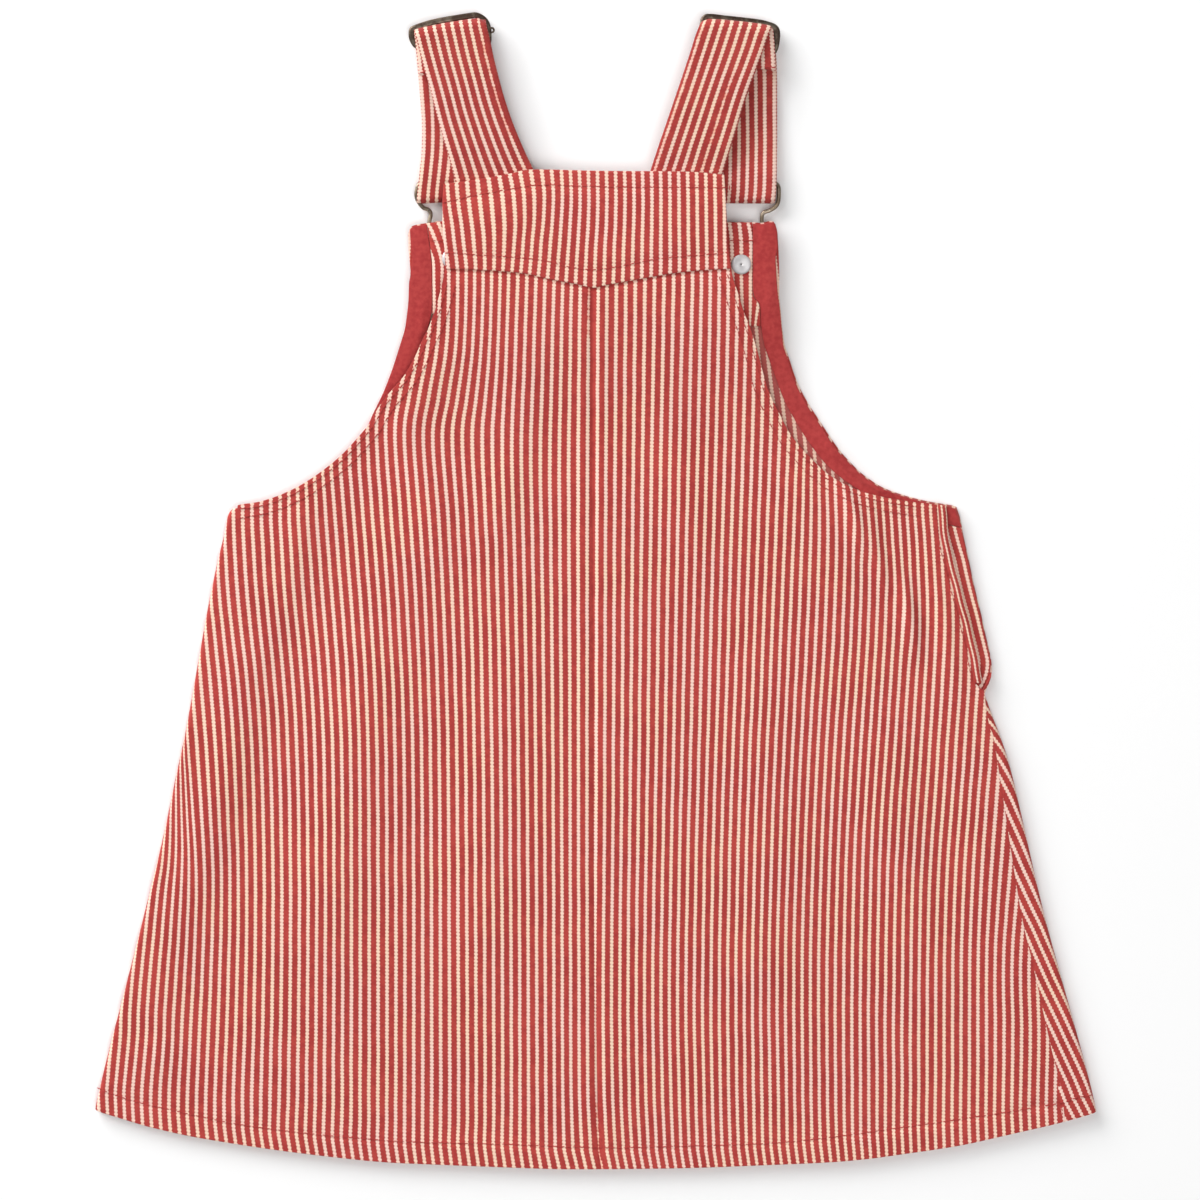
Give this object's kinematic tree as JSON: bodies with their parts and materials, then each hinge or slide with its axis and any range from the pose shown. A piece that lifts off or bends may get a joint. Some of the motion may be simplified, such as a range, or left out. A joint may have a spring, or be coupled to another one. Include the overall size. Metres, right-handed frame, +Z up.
{
  "type": "pinafore dress",
  "caption": "Toddler's pinafore dress in striped twill, laid face down and flat, with a V yoke, crossed-over straps on sliders, wire hooks and a side opening.",
  "frame": {"origin": "middle of the dress's outline, on the surface that it lies on", "axes": "+Z up from the surface, out of the dress's back; +Y from the hem to the strap tops; +X towards the side with the opening"},
  "size_m": [0.4401, 0.509, 0.0094],
  "materials": {
    "striped_twill": "cotton hickory-stripe twill, narrow cream stripes on red, matt",
    "red_twill": "plain red cotton, matt",
    "antique_brass": "dark antique plating, worn lighter on its edges",
    "brass_wire": "antique plated wire, satin",
    "nickel": "silver nickel plate, lightly brushed"
  },
  "bodies": {
    "root": {"back_left": "striped_twill", "back_right": "striped_twill", "back_yoke": "striped_twill", "front_panel": "striped_twill", "bib_facing": "striped_twill", "armhole_facing_left": "red_twill", "armhole_facing_right": "red_twill", "placket_front": "striped_twill", "placket_back": "striped_twill", "strap_left": "striped_twill", "strap_right": "striped_twill", "slider_left": "antique_brass", "slider_right": "antique_brass", "hook_left": "brass_wire", "hook_right": "brass_wire", "button_cap_left": "antique_brass", "button_cap_right": "antique_brass", "button_tack_left": "nickel", "button_tack_right": "nickel"}
  },
  "joints": []
}
